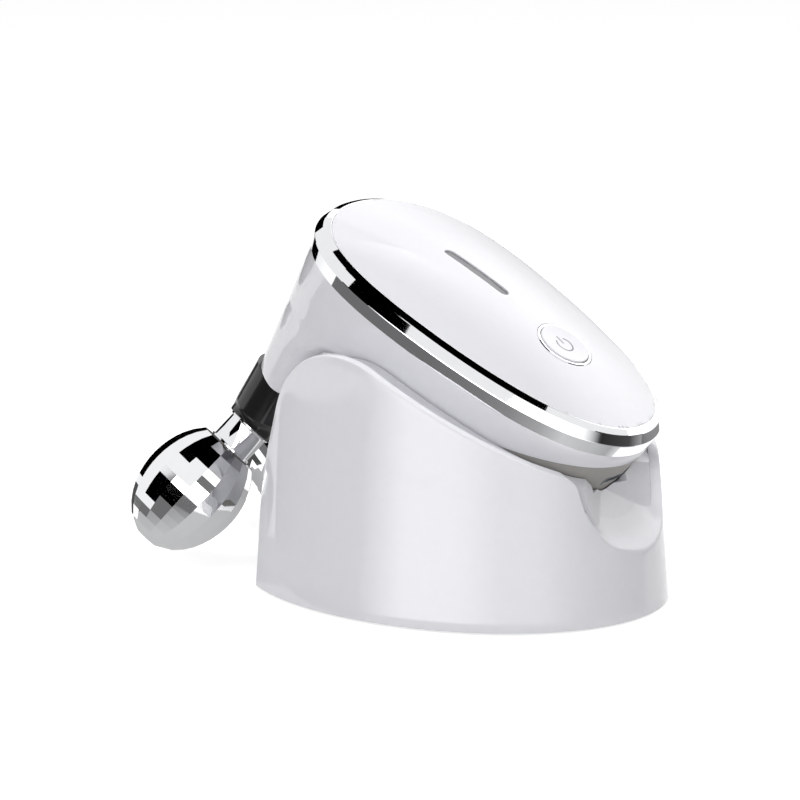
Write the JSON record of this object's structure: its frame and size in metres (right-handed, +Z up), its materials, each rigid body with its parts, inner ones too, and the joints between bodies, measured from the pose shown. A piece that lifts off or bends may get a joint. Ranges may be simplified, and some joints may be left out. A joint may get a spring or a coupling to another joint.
{
  "type": "facial lifting roller in its stand",
  "caption": "Palm-size facial lifting roller with two faceted chrome balls on a forked stem, a power button and a chrome rim, resting tilted in an oval stand with a finger notch.",
  "frame": {"origin": "centre of the stand's underside, on the surface it rests on", "axes": "+Z up, +X along the stand towards its finger notch, +Y to the handset's left"},
  "size_m": [0.1389, 0.0898, 0.0949],
  "materials": {
    "white_plastic": "high gloss",
    "chrome": "mirror plated",
    "black_plastic": "satin gloss",
    "grey_plastic": "fine matt",
    "smoked_lens": "translucent, smooth",
    "lamp_resin": "clear epoxy",
    "board_laminate": "solder mask",
    "switch_plastic": "moulded",
    "cell_wrap": "shrink wrap",
    "steel": "zinc plated",
    "bearing_brass": "turned",
    "silicone": "soft matt"
  },
  "bodies": {
    "stand": {"stand_shell": "white_plastic", "stand_cradle": "white_plastic", "stand_base_plate": "grey_plastic", "stand_ballast": "steel", "stand_pad": "silicone", "stand_screws": "steel"},
    "handset": {"top_cover": "white_plastic", "chrome_bezel": "chrome", "indicator_bar": "smoked_lens", "button_ring": "chrome", "main_board": "board_laminate", "push_switch": "switch_plastic", "indicator_lamps": "lamp_resin", "battery": "cell_wrap", "charging_socket": "steel", "lower_housing": "white_plastic", "underside_cover": "grey_plastic", "housing_screws": "steel", "vibration_motor": "steel", "left_collar": "black_plastic", "right_collar": "black_plastic", "left_neck": "chrome", "right_neck": "chrome", "left_axle": "steel", "right_axle": "steel"},
    "power_button": {"power_button": "white_plastic"},
    "left_roller": {"left_ball": "chrome", "left_ball_bush": "bearing_brass", "left_tip_plug": "chrome"},
    "right_roller": {"right_ball": "chrome", "right_ball_bush": "bearing_brass", "right_tip_plug": "chrome"},
    "motor_rotor": {"motor_shaft": "steel", "eccentric_weight": "bearing_brass"}
  },
  "joints": [
    {"name": "handset_lift", "type": "slide", "parent": "stand", "child": "handset", "axis": [0, 0, 1], "range_m": [0, 0.08]},
    {"name": "power_button_press", "type": "slide", "parent": "handset", "child": "power_button", "axis": [-0.5712, 0, -0.8208], "range_m": [0, 0.0005], "stiffness_N_per_m": 500},
    {"name": "left_roller_spin", "type": "hinge", "parent": "handset", "child": "left_roller", "pos_m": [-0.06663, 0.02271, 0.01902], "axis": [0.4669, -0.5225, 0.7135], "continuous": true},
    {"name": "right_roller_spin", "type": "hinge", "parent": "handset", "child": "right_roller", "pos_m": [-0.06663, -0.02271, 0.01902], "axis": [0.4669, 0.5225, 0.7135], "continuous": true},
    {"name": "motor_spin", "type": "hinge", "parent": "handset", "child": "motor_rotor", "pos_m": [-0.03775, 0, 0.06525], "axis": [0.4909, 0, 0.8712], "continuous": true}
  ]
}
